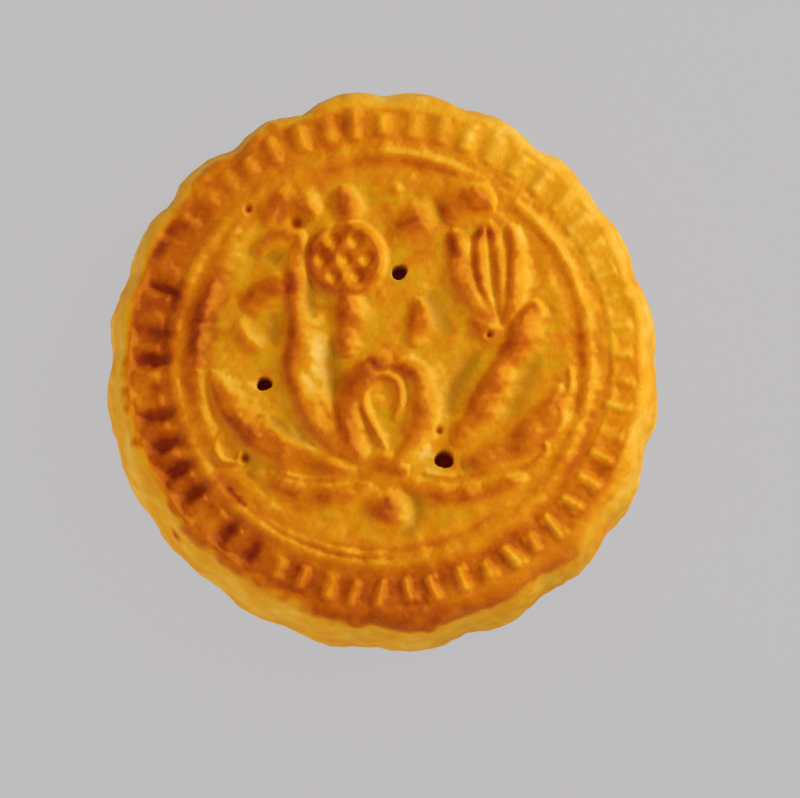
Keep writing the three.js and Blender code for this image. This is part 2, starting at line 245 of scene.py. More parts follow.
# %% Strokes of the design: path, half width and height
LEAVES = [
    ([(-12.6, 8.6), (-12.8, 2.4), (-12.6, -3.2), (-11.0, -8.4), (-7.6, -12.8), (-1.6, -16.0)], 2.3, 1.2),
    ([(-25.0, -1.8), (-23.0, -7.0), (-19.4, -11.3), (-13.0, -14.9), (-3.0, -17.0)], 2.2, 1.0),
    ([(-19.4, -16.6), (-13.2, -19.4), (-7.4, -20.2), (-1.6, -18.4)], 1.6, 0.75),
    ([(17.8, 1.6), (15.3, -3.6), (13.0, -8.2), (9.6, -12.6)], 1.9, 1.05),
    ([(25.4, -3.8), (23.4, -8.0), (19.8, -11.8), (15.8, -14.2), (11.2, -15.8)], 2.2, 1.0),
    ([(20.6, -17.2), (14.8, -19.6), (8.8, -20.2), (2.4, -18.4)], 1.6, 0.8),
]
BUD = [
    ([(-4.4, -14.6), (-5.6, -9.0), (-4.4, -4.2), (-1.8, -1.6), (1.4, -1.0)], 1.8, 1.1),
    ([(0.6, -1.0), (3.9, -2.3), (5.6, -5.9), (5.3, -10.2), (3.4, -14.0), (1.2, -16.2)], 1.6, 1.1),
    ([(0.4, -13.6), (-1.5, -10.4), (-3.0, -7.4), (-2.9, -4.7), (-0.6, -3.0), (1.8, -3.8), (2.2, -6.6),
      (1.4, -9.4)], 0.75, 0.8),
    ([(-3.8, -16.8), (0.0, -15.9), (3.6, -16.8)], 1.5, 0.9),
]
STEM = [
    ([(-12.2, 18.4), (-12.8, 14.4), (-13.2, 10.2), (-13.3, 5.4)], 1.6, 1.0),
    ([(-20.4, 7.2), (-17.0, 9.8), (-12.8, 11.4)], 1.7, 1.0),
    ([(-19.0, 15.4), (-15.4, 17.4), (-11.2, 17.8)], 1.3, 0.85),
    ([(-17.6, 19.4), (-15.4, 22.6), (-12.4, 23.0), (-9.6, 20.6)], 1.6, 0.95),
    ([(-6.2, 25.4), (-5.6, 22.8), (-5.8, 19.4)], 1.6, 0.95),
    ([(-5.6, 10.0), (-5.4, 5.0), (-5.8, -0.2)], 1.7, 1.0),
    ([(-21.0, 5.8), (-20.2, 2.8), (-17.4, 1.0)], 1.1, 0.4),
    ([(-22.6, 15.6), (-21.4, 19.4), (-18.8, 22.2)], 1.0, 0.5),
]
FLOWER = [
    ([(10.0, 19.0), (10.5, 13.6), (12.0, 8.8), (16.4, 4.6)], 1.7, 1.05),
    ([(14.8, 20.2), (13.5, 15.6), (14.2, 10.2), (16.4, 5.0)], 1.0, 0.85),
    ([(14.8, 20.2), (16.3, 15.6), (16.6, 10.2), (16.8, 5.0)], 1.0, 0.85),
    ([(18.0, 19.8), (18.8, 14.4), (18.5, 9.0), (17.0, 4.2)], 1.4, 0.95),
    ([(22.4, 8.2), (20.4, 5.0), (18.5, 1.8), (16.9, -1.6)], 2.0, 1.1),
    ([(8.4, 20.6), (11.8, 22.8), (16.0, 21.8)], 2.2, 1.0),
    ([(4.6, 8.8), (4.8, 5.0), (4.0, 1.4)], 1.6, 0.8),
    ([(12.4, 6.4), (15.6, 3.2), (18.6, 1.4)], 1.6, 0.8),
]
TENDRILS = [
    ([(26.6, -1.4), (26.7, -4.6), (25.3, -6.6), (25.5, -8.8), (24.6, -10.6), (22.9, -12.0), (23.1, -13.8),
      (21.2, -15.4), (17.6, -15.9)], 0.6, 0.65),
    ([(-20.7, -12.2), (-22.6, -11.0), (-24.2, -12.6), (-23.4, -15.0), (-21.2, -15.4), (-20.5, -13.6)],
     0.55, 0.55),
    ([(-15.6, -16.8), (-10.0, -17.9), (-4.4, -17.3)], 0.6, 0.6),
    ([(5.6, -16.9), (10.4, -17.6), (17.0, -16.2)], 0.6, 0.6),
]

# How strongly each group's strokes taper, and how much they lean.
GROUPS = [
    (LEAVES, 0.42, 0.38),
    (BUD, 0.28, 0.12),
    (STEM, 0.36, 0.15),
    (FLOWER, 0.36, 0.15),
    (TENDRILS, 0.25, 0.0),
]
print(sum(len(group) for group, _, _ in GROUPS), "strokes")

# %% A stroke's relief over the face
RELIEF = 1.4  # lines stand this much taller than listed
BREADTH = 1.22  # and are this much broader
ROUNDNESS = 2.2  # power of a stroke's profile
LEAN_TO = math.radians(20)  # ridges are broader on the side that left the mould last
MELT = 5  # power of the soft maximum: lower melts crossings more
CURVE_POINTS = 140
REACH = 3.0  # half widths from the curve, beyond which a stroke adds nothing


def stroke(xy, path, half_width, height, taper_power, lean):
    """A ridge along a curve, at each point: height * taper * bell(d, width, ROUNDNESS).

    d is the distance to the nearest point of the curve. Width and height shrink towards the ends by
    the taper, (1 - (2t - 1)^2)^taper_power, where t runs from 0 to 1 along the curve. The width is
    greater by the share lean on the side that faces LEAN_TO, and as much less on the other.
    """
    curve = spline(path, CURVE_POINTS)
    reach = REACH * half_width
    near = np.all((xy > curve.min(0) - reach) & (xy < curve.max(0) + reach), axis=1)
    gap = np.linalg.norm(xy[near][:, None, :] - curve[None, :, :], axis=2)
    closest = gap.argmin(axis=1)
    distance = gap[np.arange(len(gap)), closest]
    t = closest / (len(curve) - 1)
    taper = np.clip(1 - (2 * t - 1) ** 2, 1e-4, 1) ** taper_power
    off = xy[near] - curve[closest]
    side = (off[:, 0] * math.cos(LEAN_TO) + off[:, 1] * math.sin(LEAN_TO)) / np.maximum(distance, 1e-6)
    width = half_width * (1 + lean * side) * taper
    out = np.zeros(len(xy))
    out[near] = height * (taper * bell(distance, width, ROUNDNESS))
    return out


def design_strokes(xy):
    """The heights of all strokes of the design, one array for each."""
    return [
        stroke(xy, path, BREADTH * half_width, RELIEF * height, taper_power, lean)
        for group, taper_power, lean in GROUPS
        for path, half_width, height in group
    ]


def soft_maximum(heights):
    """The MELT-th root of the sum of MELT-th powers, which rounds the valley where two ridges meet."""
    return np.sum([h**MELT for h in heights], axis=0) ** (1 / MELT)


print("relief across the leaves:", span(soft_maximum(design_strokes(np.linspace([-26, -9], [26, -9], 99)))))

# %% Valleys between close ridges
VALLEY_DEPTH, VALLEY_TAPER = 0.3, 0.3
VALLEYS_DIE = (0.30, 1.0)  # heights of the design between which a valley dies out
VALLEYS = [  # path, half width, and share of VALLEY_DEPTH
    ([(-7.6, 3.0), (-7.3, -3.6), (-6.7, -10.6)], 1.2, 1.0),
    ([(-16.4, -8.8), (-13.4, -11.8), (-9.8, -13.8)], 1.1, 1.0),
    ([(13.6, 1.0), (11.8, -2.0), (10.0, -5.2), (9.5, -8.8)], 1.3, 1.0),
    ([(22.2, 0.6), (20.0, -4.8), (17.8, -9.4)], 1.2, 0.6),
    ([(-20.6, -14.2), (-17.4, -16.8), (-14.2, -18.2)], 1.2, 0.6),
    ([(-15.8, 6.8), (-15.8, 1.6)], 1.1, 0.8),
    ([(3.6, -19.2), (4.8, -21.8), (4.3, -24.4), (2.4, -26.2)], 0.9, 0.75),
    ([(-11.0, 13.4), (-10.8, 9.4), (-10.2, 5.6)], 0.8, 0.9),
    ([(6.4, 9.8), (7.8, 6.6), (9.8, 3.2)], 1.5, 0.75),
    ([(-16.6, 15.6), (-15.0, 14.0)], 1.5, 0.9),
]


def valley_share(xy, design):
    """The deepest valley at each point, as a share of VALLEY_DEPTH, less where the design stands over it."""
    valley = np.max([stroke(xy, *line, VALLEY_TAPER, 0.0) for line in VALLEYS], axis=0)
    return valley * (1 - smoothstep(design, *VALLEYS_DIE))


print(len(VALLEYS), "valleys")

# %% The pod and three beads: two at the top and one under the bud
POD_CENTRE, POD_HALF, POD_RISE = (-5.7, 14.3), (6.0, 5.8), 1.4
POD_EDGE = (0.80, 1.12)  # shares of POD_HALF between which the pad falls away
HOLE_SPACING, HOLE_SQUASH = 3.2, 0.95  # from the middle hole to the others, and its share upwards
HOLE_SIZE, HOLE_DEPTH = 0.85, 1.1
SEED_SIZE, SEED_RISE = 0.4, 0.3
BEADS = [((4.0, 19.9), 2.7, 1.5), ((1.6, 24.6), 1.0, 0.6), ((0.2, -22.3), 2.8, 1.2)]  # place, size, rise
BEAD_ROUNDNESS = 2.6


def pod_height(xy):
    """A round pad with a rolled edge. Seven holes are pressed into it, with a seed at the bottom of each.

    A hole is depth * bell(gap, size, 3), and a seed is rise * bell(gap, size).
    """
    offset = xy - np.array(POD_CENTRE)
    edge = np.linalg.norm(offset / np.array(POD_HALF), axis=1)
    pad = POD_RISE * (1 - smoothstep(edge, *POD_EDGE))
    sixths = np.arange(6) * math.pi / 3
    for dx, dy in [(0, 0), *zip(np.cos(sixths), HOLE_SQUASH * np.sin(sixths))]:
        gap = np.linalg.norm(offset - HOLE_SPACING * np.array([dx, dy]), axis=1)
        pad -= HOLE_DEPTH * bell(gap, HOLE_SIZE, 3) - SEED_RISE * bell(gap, SEED_SIZE)
    return np.maximum(pad, 0)


def highest_dome(xy, domes, power):
    """The highest of round domes of (place, size, rise): each is rise * bell(gap, size, power)."""
    gaps = [np.linalg.norm(xy - np.array(place), axis=1) for place, _, _ in domes]
    return np.max([rise * bell(gap, size, power) for gap, (_, size, rise) in zip(gaps, domes)], axis=0)


print("the pod with its holes:", span(pod_height(np.linspace([-12, 14.3], [0, 14.3], 99))))

# %% [markdown]
# ## Rings and the barred border
#
# Carved rings could be plain tori, but pressed dough leaves them broken: they wander, they fade in and
# out, and they sit a little to the left, because the mould wasn't lifted off straight. The border is a
# fret of short radial bars, each with its own width, height, lean and length. At the front some end in
# a hook, and on the left deep pits lie between them.

# %% Ring relief
RING_WANDER, WANDER_SIZE = 0.14, 0.5  # how far a ring strays, and over what share of its radius
RING_WEAR, WEAR_SIZE = 0.22, 0.6  # the same for the share by which its height varies
WEAR_LIMITS = (0.4, 1.5)
LUMPS_LEVEL = 0.3  # the rings' lumps are read along a circle at this height


def ring_height(r, angle, seed, radius, width, height):
    """A rounded ridge along a circle that wanders a little and fades in and out round the turn.

    It is height * wear * bell(r - radius - wander, width, ROUNDNESS).
    """
    circle = np.stack([np.cos(angle), np.sin(angle), np.full_like(angle, LUMPS_LEVEL)], axis=1)
    wander = RING_WANDER * lumps(circle, WANDER_SIZE, seed)
    worn = np.clip(1 + RING_WEAR * lumps(circle, WEAR_SIZE, seed + 1), *WEAR_LIMITS)
    return height * worn * bell(r - radius - wander, width, ROUNDNESS)


# %% The four rings
RINGS_OFF = 0.6  # how far the rings sit to the left of the cake's middle
OFF_FROM, OFF_UNTIL = (15, 25), (31.0, 32.5)  # radii where that comes in and goes out
BOLD_AT, FINE_AT, FOOT_AT = (275, 42), (192, 30), (85, 42)  # bearings and spreads: left, front and right
LOST = [(276, 0.8, 11), (251, 0.6, 11)]  # where the middle ring is lost, and the share of it


def rings_height(r, angle):
    """Two rings round the field, a fine one between them, and the border's foot.

    The inner ring is bold on the left only, the middle one is lost in two places there, the fine one
    shows at the front only, and the border's foot on the right.
    """
    r = r + RINGS_OFF * np.cos(angle) * smoothstep(r, *OFF_FROM) * (1 - smoothstep(r, *OFF_UNTIL))
    bold, front, foot = (towards(angle, *place) for place in (BOLD_AT, FINE_AT, FOOT_AT))
    left = 1 - around(angle, LOST)
    rings = [  # seed, radius, width and height
        (40, INNER_RING, 0.9 + 0.4 * bold, 0.10 + 0.60 * bold),
        (49, FINE_RING, 0.5, 0.28 * front),
        (43, MIDDLE_RING + 0.4 * front, 0.9 - 0.2 * front, 0.5 * left),
        (46, BORDER_RING, 0.6, 0.08 + 0.3 * foot),
    ]
    return soft_maximum([ring_height(r, angle, *ring) for ring in rings])


print("along the inner ring:", span(rings_height(np.full(360, INNER_RING), every_degree)))

# %% Sizes of the bars
BAR_TURN, BAR_DRIFT = -1.4, [(1, 1.9, 105)]  # degrees by which the bars run ahead
FIRST_BAR = 0.25  # from the right, in cells
BAND_MIDDLE = (BAND_INSIDE + BAND_OUTSIDE) / 2

# What differs from bar to bar, between a low and a high. Widths are in cells of the turn.
BAR_HALF_WIDTH, BAR_HEIGHT = (0.19, 0.26), (0.60, 0.95)
BAR_STARTS, BAR_STOPS = (-0.1, 0.5), (-0.8, 0.2)  # from BAND_INSIDE, and from BAND_OUTSIDE
BAR_OFF, BAR_LEAN = 0.06, 0.05  # at most, to either side
START_FADE, STOP_FADE = 0.5, 0.6  # half the length over which a bar's ends fade
BAR_ROUNDNESS = 2.1

# What differs round the turn: bearing, size and spread.
WIDER = [(30, 0.05, 45), (290, 0.05, 60), (240, 0.07, 38), (155, -0.02, 35)]
WORN = [(240, 0.3, 38), (297, 0.6, 20), (78, 0.3, 30)]

# At the front bars are shorter, curl and have hooks: bearing and spread of that, and how much.
CURLED_AT, HOOKED_AT = (155, 35), (145, 48)
BAR_SHORTER, BAR_CURL, CURL_WAVES = 0.6, 0.16, 1.6
HOOK_HEIGHT, HOOK_ASIDE, HOOK_HALF_WIDTH = 0.7, 0.14, 0.22
HOOK_FROM_END, HOOK_HALF_LENGTH = 0.5, 0.65
PLAIN_ENDS = 0.35  # share of the bars' ends that have no hook

# Pits pressed between the bars: bearing, and share of PIT_DEPTH.
PITS = [(213.5, 0.8), (221.5, 0.8), (234, 0.9), (241, 0.9), (248, 1.0), (255, 0.9), (269, 1.0), (276, 0.5),
        (287.5, 0.8)]
PIT_DEPTH = 0.55
PIT_SPREAD = 1.8  # half width of a pit, in degrees
PIT_RADIUS, PIT_HALF_LENGTH = 33.6, 2.5
print(BARS, "bars and", len(PITS), "pits")


# %% Border relief
def bar_height(r, angle):
    """The height of the bars between the middle ring and the rail.

    The turn is cut into BARS cells. In a cell, u is the distance from its bar's middle in cells, and
    the bar is bell(u, half width, BAR_ROUNDNESS), faded in and out along the radius. At the front a
    bar may curl, and its ends may turn aside in a hook.
    """
    ahead = BAR_TURN + waves_round(np.pi / 2 - angle, BAR_DRIFT)
    turn = angle * BARS / (2 * np.pi) - FIRST_BAR + ahead * BARS / 360
    cell = np.round(turn).astype(int)
    random = np.random.default_rng(11)

    def differing(low, high):
        """A number between low and high for each bar, spread over that bar's cell."""
        return random.uniform(low, high, BARS)[cell % BARS]

    curled, hooked = towards(angle, *CURLED_AT), towards(angle, *HOOKED_AT)
    width = differing(*BAR_HALF_WIDTH) + around(angle, WIDER)
    height = differing(*BAR_HEIGHT) * (1 - around(angle, WORN))
    along = 2 * (r - BAND_MIDDLE) / (BAND_OUTSIDE - BAND_INSIDE)
    curl = BAR_CURL * curled * differing(-1, 1) * np.sin(CURL_WAVES * along + differing(0, 2 * math.pi))
    u = turn - cell - differing(-BAR_OFF, BAR_OFF) - differing(-BAR_LEAN, BAR_LEAN) * along - curl
    start = BAND_INSIDE + differing(*BAR_STARTS)
    stop = BAND_OUTSIDE + differing(*BAR_STOPS) - BAR_SHORTER * curled
    shank = bell(u, width, BAR_ROUNDNESS) * smoothstep(r, start - START_FADE, start + START_FADE)
    shank = shank * (1 - smoothstep(r, stop - STOP_FADE, stop + STOP_FADE))

    hooks = np.zeros(len(r))
    for radius in (start + HOOK_FROM_END, stop - HOOK_FROM_END):
        side = differing(-1, 1)
        beside = bell(np.sign(side) * u - HOOK_ASIDE, HOOK_HALF_WIDTH, 4)
        end = bell(r - radius, HOOK_HALF_LENGTH) * (np.abs(side) > PLAIN_ENDS)
        hooks = np.maximum(hooks, beside * end)
    return height * np.maximum(shank, HOOK_HEIGHT * hooked * hooks)


def pit_share(r, angle):
    """The pits, as shares of PIT_DEPTH: towards a bearing, times bell(r - PIT_RADIUS, PIT_HALF_LENGTH, 3)."""
    pits = np.max([share * towards(angle, bearing, PIT_SPREAD) for bearing, share in PITS], axis=0)
    return pits * bell(r - PIT_RADIUS, PIT_HALF_LENGTH, 3)


print("bars along their middle:", span(bar_height(np.full(360, BAND_MIDDLE), every_degree)))

# %% Rail relief
RAIL_LOSS = 0.4  # how far the rail has slumped, all round but on the left
RAIL_FULL_AT = (275, 55)  # bearing and spread of that
RAIL_SLOPE = (RAIL_RADIUS - 1.6, RAIL_RADIUS - 0.1)  # radii between which the rail rises


def rail_loss(angle):
    """How much lower the rail is than RAIL_CREST."""
    return RAIL_LOSS * (1 - towards(angle, *RAIL_FULL_AT))


def rail_height(r, angle):
    """The low rim outside the bars: its crest stands RAIL_CREST above the base, less its loss."""
    rise = RAIL_CREST - face_height(np.array(RAIL_RADIUS)) - rail_loss(angle)
    return rise * smoothstep(r, *RAIL_SLOPE)


print("loss of the rail:", span(rail_loss(every_degree)))

# %% [markdown]
# ## Holes
#
# Three vents are pricked with a skewer before baking, and a few bubbles burst in the oven. A vent is
# narrower than a few squares of the grid, so a plain dent would come out ragged. The grid's own
# points are first drawn together onto the vent's wall, and then pushed down inside it.

# %% Vents and burst bubbles
VENTS = [(2.2, 12.55, 1.18), (-17.2, -3.75, 1.12), (8.6, -14.8, 1.40)]  # place and radius
VENT_DEPTH = 3.4
VENT_FLOOR, VENT_WALL, VENT_GRIP = 0.55, 1.30, 2.6  # how far out the points of each reach
FLOOR_SHARE = 0.80  # the floor's radius as a share of the vent's
VENT_OVAL, VENT_CORNERS = 0.07, 0.05  # how far its outline strays from round, in twos and in threes
BUBBLES = [((-19.6, 21.8), 0.6, 1), ((-12.6, 19.9), 1.1, 1), ((15.1, 3.2), 0.5, 1), ((7.9, -10.7), 0.5, 1),
           ((-19.9, -14.6), 0.7, 1)]  # place, size, and share of BUBBLE_DEPTH
BUBBLE_DEPTH, BUBBLE_ROUNDNESS = 0.9, 2.5


def draw_in(xy):
    """Moves the points round each vent, and returns them with the share of the vent's depth at each.

    Points out to VENT_FLOOR make its floor, those out to VENT_WALL its wall, and the gap that this
    leaves is shared out among those within VENT_GRIP.
    """
    xy = xy.copy()
    depth = np.zeros(len(xy))
    for k, (*centre, radius) in enumerate(VENTS):
        away = xy - np.array(centre)
        rho = np.linalg.norm(away, axis=1)
        bearing = np.arctan2(away[:, 1], away[:, 0])
        uneven = VENT_OVAL * np.sin(2 * bearing + k) + VENT_CORNERS * np.sin(3 * bearing + 2 * k)
        rim = radius * (1 + uneven)
        inside = rim * np.interp(rho, [0, VENT_FLOOR, VENT_WALL], [0, FLOOR_SHARE, 1])
        outside = rim + (VENT_GRIP - rim) * (rho - VENT_WALL) / (VENT_GRIP - VENT_WALL)
        moved = np.where(rho <= VENT_WALL, inside, outside)
        near = (rho < VENT_GRIP) & (rho > 1e-9)
        factor = np.where(near, moved / np.maximum(rho, 1e-9), 1.0)
        xy = np.array(centre) + away * factor[:, None]
        depth = np.maximum(depth, 1 - smoothstep(rho, VENT_FLOOR, VENT_WALL))
    return xy, depth


print(len(VENTS), "vents and", len(BUBBLES), "bubbles")

# %% [markdown]
# ## The face's height
#
# All of it comes together in one function of place, which both the field and the border use, so that
# they meet without a seam. The mould wears unevenly, so the design's height varies too, and lumps of
# three sizes are added for the grain of the dough.

# %% Relief at any point of the face
MOULD_WEAR = [(5.0, 0.13, 21)]  # lumps by size, height and seed; the height is a share here
FACE_DOUGH = [(9.0, 0.10, 31), (3.4, 0.06, 32), (1.4, 0.032, 33)]


def face_relief(xy):
    """Four arrays: what is raised above the plain face, what is uneven or pressed in, pits and valleys.

    The last two are shares from 0 to 1, which also say where the crust is darker: browner in the pits, and
    painted shade in the valleys.
    """
    r = np.linalg.norm(xy, axis=1)
    angle = np.arctan2(xy[:, 1], xy[:, 0])
    flat = np.column_stack([xy, np.zeros(len(xy))])
    beads = highest_dome(xy, BEADS, BEAD_ROUNDNESS)
    design = soft_maximum([*design_strokes(xy), pod_height(xy), beads])
    valley, pit = valley_share(xy, design), pit_share(r, angle)
    worn_design = design * (1 + layered(flat, MOULD_WEAR))
    bars = bar_height(r, angle) * (1 - pit)
    raised = soft_maximum([worn_design, rings_height(r, angle), bars, rail_height(r, angle)])
    uneven = layered(flat, FACE_DOUGH) - PIT_DEPTH * pit - VALLEY_DEPTH * valley
    return raised, uneven, pit, valley


print("relief across the middle:", span(face_relief(np.linspace([-32, 0], [32, 0], 99))[0]))

# %% [markdown]
# ## Field: a square grid bent into a disc
#
# A disc can be gridded in rings, but its middle then gets slivers. Here a square grid is bent into
# the disc ring by ring, which keeps every cell near a third of a millimetre.

# %% The field's grid
COLUMNS = 16 * BARS  # points round the disc, so that every bar gets the same number
GRID = COLUMNS // 4  # cells along a side of the square
FIELD_RADIUS = 32.0


def disc_grid(cells, radius):
    """Points of a square grid bent into a disc.

    Each ring of squares becomes a circle, with its corners on the diagonals.
    """
    line = np.linspace(-1, 1, cells + 1)
    a, b = (m.ravel() for m in np.meshgrid(line, line))
    wide = np.abs(a) >= np.abs(b)
    r = np.where(wide, a, b)
    share = np.where(wide, b, a) / np.where(r == 0, 1, r) * np.pi / 4
    angle = np.where(wide, share, np.pi / 2 - share)
    return radius * np.column_stack([r * np.cos(angle), r * np.sin(angle)])


def net_rim(net):
    """Point numbers round a net of rows and columns, anticlockwise from its lower right corner."""
    return np.concatenate([net[:-1, -1], net[-1, :0:-1], net[:0:-1, 0], net[0, :-1]])


field_xy = disc_grid(GRID, FIELD_RADIUS)
field_net = np.arange(len(field_xy)).reshape(GRID + 1, GRID + 1)
rim = net_rim(field_net)
rim_angle = np.arctan2(field_xy[rim, 1], field_xy[rim, 0])
print("field points:", len(field_xy), "round the rim:", len(rim))

# %% Give the field its height
BARE_VENTS = (0.0, 0.3)  # shares of a vent's depth between which the design dies out

field_xy, vent_share = draw_in(field_xy)
raised, rough, field_pit, field_valley_shade = face_relief(field_xy)
raised *= 1 - smoothstep(vent_share, *BARE_VENTS)
field_z = face_height(np.linalg.norm(field_xy, axis=1)) + raised + rough
bubble_share = highest_dome(field_xy, BUBBLES, BUBBLE_ROUNDNESS)
field_z -= VENT_DEPTH * vent_share + BUBBLE_DEPTH * bubble_share
field_points = np.column_stack([field_xy, field_z])
print("height of the field:", span(field_z))

# %% [markdown]
# ## Border, shoulder, side and base: one strip carried round
#
# From the field's rim the skin runs out over the border and the rail, rolls over the shoulder, goes
# down the fluted side and turns under. These could be four pieces, but each seam would need care. One
# section carried round the turn has none.

# %% The strip's section
BAND_ROWS, SIDE_ROWS, BASE_ROWS = 19, 37, 3
FAN_RADIUS = 8.0  # inside this the base is a fan of triangles
band_r = np.linspace(FIELD_RADIUS, RAIL_RADIUS, BAND_ROWS + 1)[1:]
side_section = spline(SIDE_SECTION, SIDE_ROWS + 1)[1:]
base_r = np.linspace(BASE_RADIUS, FAN_RADIUS, BASE_ROWS + 1)[1:]
section_r = np.concatenate([band_r, side_section[:, 0], base_r])
section_z = np.concatenate([face_height(band_r), side_section[:, 1], np.zeros(BASE_ROWS)])
print("rows down the strip:", len(section_r))

# %% Carry the section round the turn
rows = len(section_r)
angle = np.tile(rim_angle, rows)
strip_r = np.repeat(section_r, COLUMNS)
strip_z = np.repeat(section_z, COLUMNS)
row = np.repeat(np.arange(rows), COLUMNS)
flat_xy = np.column_stack([strip_r * np.cos(angle), strip_r * np.sin(angle)])
on_face = row < BAND_ROWS
strip_raised, strip_rough, strip_pit = np.zeros((3, len(strip_r)))
strip_raised[on_face], strip_rough[on_face], strip_pit[on_face], _ = face_relief(flat_xy[on_face])
print("relief on the border:", span(strip_raised[on_face]))

# %% Uneven dough on the side
SIDE_DOUGH = [(7.0, 0.10, 51), (2.6, 0.06, 52)]
FLAT_FOOT = (0.3, 3.0)  # heights between which the dough starts to be uneven
RAIL_FADE = (17.0, RAIL_CREST)  # heights between which the side follows the rail's ups and downs

below = row >= BAND_ROWS
dough = layered(np.column_stack([flat_xy, strip_z]), SIDE_DOUGH) * smoothstep(strip_z, *FLAT_FOOT) * below
rail_rough = np.tile(strip_rough[row == BAND_ROWS - 1], rows)
follow = smoothstep(strip_z, *RAIL_FADE) * below
strip_r = strip_r + side_offset(angle, strip_r, strip_z) + dough
strip_z = strip_z + strip_raised + strip_rough + follow * (rail_rough - rail_loss(angle))
strip_points = np.column_stack([strip_r * np.cos(angle), strip_r * np.sin(angle), strip_z])
print("strip points:", len(strip_points))

# %% [markdown]
# ## One closed mesh
#
# The field, the strip and the base could be three meshes, welded where they touch. Here they share
# their points from the start: the field's rim is the strip's first row, and the base is closed by a
# fan to a middle point, so the skin has no gap to weld.


# %% Faces of the field, the strip and the base
def net_quads(net):
    """The cells of a net of point numbers: a corner, the next in its row, and the two in the next row."""
    return np.stack([net[:-1, :-1], net[:-1, 1:], net[1:, 1:], net[1:, :-1]], axis=-1).reshape(-1, 4)


first = len(field_points)
middle = first + rows * COLUMNS
strip_net = np.vstack([rim, np.arange(first, middle).reshape(rows, COLUMNS)])
strip_net = np.column_stack([strip_net, strip_net[:, 0]])
points = np.vstack([field_points, strip_points, [[0, 0, 0]]])
OUTWARDS = [0, 3, 2, 1]  # the strip's rows run down, so its corners are taken in the other order
quads = np.vstack([net_quads(field_net), net_quads(strip_net)[:, OUTWARDS]])
fan = np.column_stack([strip_net[-1, :-1], np.full(COLUMNS, middle), strip_net[-1, 1:]])
print("triangles:", 2 * len(quads) + len(fan))

# %% Put them into a mesh
mesh = bpy.data.meshes.new("mooncake_skin")
mesh.from_pydata(points * MM, [], [*quads.tolist(), *fan.tolist()])
mesh.shade_smooth()
mesh.validate()


def put(name, data):
    """A new object in the scene."""
    made = bpy.data.objects.new(name, data)
    bpy.context.scene.collection.objects.link(made)
    return made


cake = put("mooncake_crust", mesh)
print("mesh:", len(mesh.vertices), "points,", len(mesh.polygons), "faces")

# %% [markdown]
# ## How the oven browns it, and painted light and shade
#
# What stands up browns first. Slopes that face away from the key light are painted darker, a painted shade,
# and slopes that face it are painted paler, a painted highlight. The border is darker on the left, partly
# browning and partly painted shade, and paler at the upper right, which is painted light. The pits hold
# wash, which burns, and dough down the side stays pale. The colour could be painted on, but all of this
# follows from the shape, so it is worked out as one number for each point, the toast, which the material
# turns into colour.

# %% What the browning and the painted light and shade go by
x, y, z = points.T
r_all = np.hypot(x, y)
turn_all = np.arctan2(y, x)
off_field = np.zeros(len(strip_points) + 1)
raised_all = np.concatenate([raised, strip_raised, [0.0]])
pit_all = np.concatenate([field_pit, strip_pit, [0.0]])
# The valleys' share, which paints shade into the narrow valleys between ridges.
valley_shade = np.concatenate([field_valley_shade, off_field])
patches = lumps(points, 8.0, 61)
speckle = lumps(points, 2.6, 62)

normals = np.zeros(3 * len(points), np.float32)
mesh.vertex_normals.foreach_get("vector", normals)
normals = normals.reshape(-1, 3)
AWAY_FROM_LIGHT = math.radians(214)  # the side away from the key light, anticlockwise from the right; slopes that face it get painted shade
facing_away_from_light = normals[:, 0] * math.cos(AWAY_FROM_LIGHT) + normals[:, 1] * math.sin(AWAY_FROM_LIGHT)

DARK_SIDE_AT, PALE_SIDE_AT = (255, 75), (55, 62)  # bearing and spread of the darkest border, partly browning and partly painted shade, and of the palest, painted light towards the key light
dark_side, pale_side = towards(turn_all, *DARK_SIDE_AT), towards(turn_all, *PALE_SIDE_AT)
top = smoothstep(z, 17.5, 19.5)
band = smoothstep(r_all, 30.5, 33.0) * (z > 15)
print("points on the border:", int((band > 0.5).sum()))

# %% The field's toast
FIELD_TOAST = 0.41
SLOPE_SHADE, SLOPE_HIGHLIGHT = 0.09, 0.27  # at most: painted shade on slopes facing away from the key light, painted highlight on slopes facing it
LOW_CREST, HIGH_CREST = 0.24, 0.10  # from the first millimetre of relief, and the rest
FIELD_OUTSIDE = 31  # the field's colours end at this radius

toast_and_painted_light = FIELD_TOAST + 0.03 * patches + 0.025 * speckle
# Painted shade and painted highlight on the slopes, weaker on the border.
slope = SLOPE_SHADE * smoothstep(facing_away_from_light, 0.06, 0.42) - SLOPE_HIGHLIGHT * smoothstep(-facing_away_from_light, 0.08, 0.38)
toast_and_painted_light += slope * top * (1 - band * (0.40 + 0.30 * pale_side))
crest = LOW_CREST * smoothstep(raised_all, 0.40, 1.15) + HIGH_CREST * smoothstep(raised_all, 1.15, 1.75)
toast_and_painted_light += crest * (r_all < FIELD_OUTSIDE)
# The outer field is browner, more so on the dark side, partly painted shade.
toast_and_painted_light += smoothstep(r_all, 24, 30) * (0.05 * dark_side + 0.04)
print("toast:", span(toast_and_painted_light))

# %% [markdown]
# ## Brush marks
#
# Egg wash goes on with a brush, and it pools in some places and misses others. Thick wash browns and
# thin wash stays pale, so each brush mark is a soft stroke that adds to the toast or takes from it.
# Random blotches would be quicker, but marks can lie where a brush would catch the design. One pale mark,
# down the right flank of the first leaf, is a painted highlight instead.


# %% Where the wash ran thick or thin, and one painted highlight
def arc(radius, start, stop):
    """Five points on a circle about the cake's middle, between two bearings."""
    bearings = np.radians(np.linspace(start, stop, 5))
    return np.column_stack([radius * np.sin(bearings), radius * np.cos(bearings)])


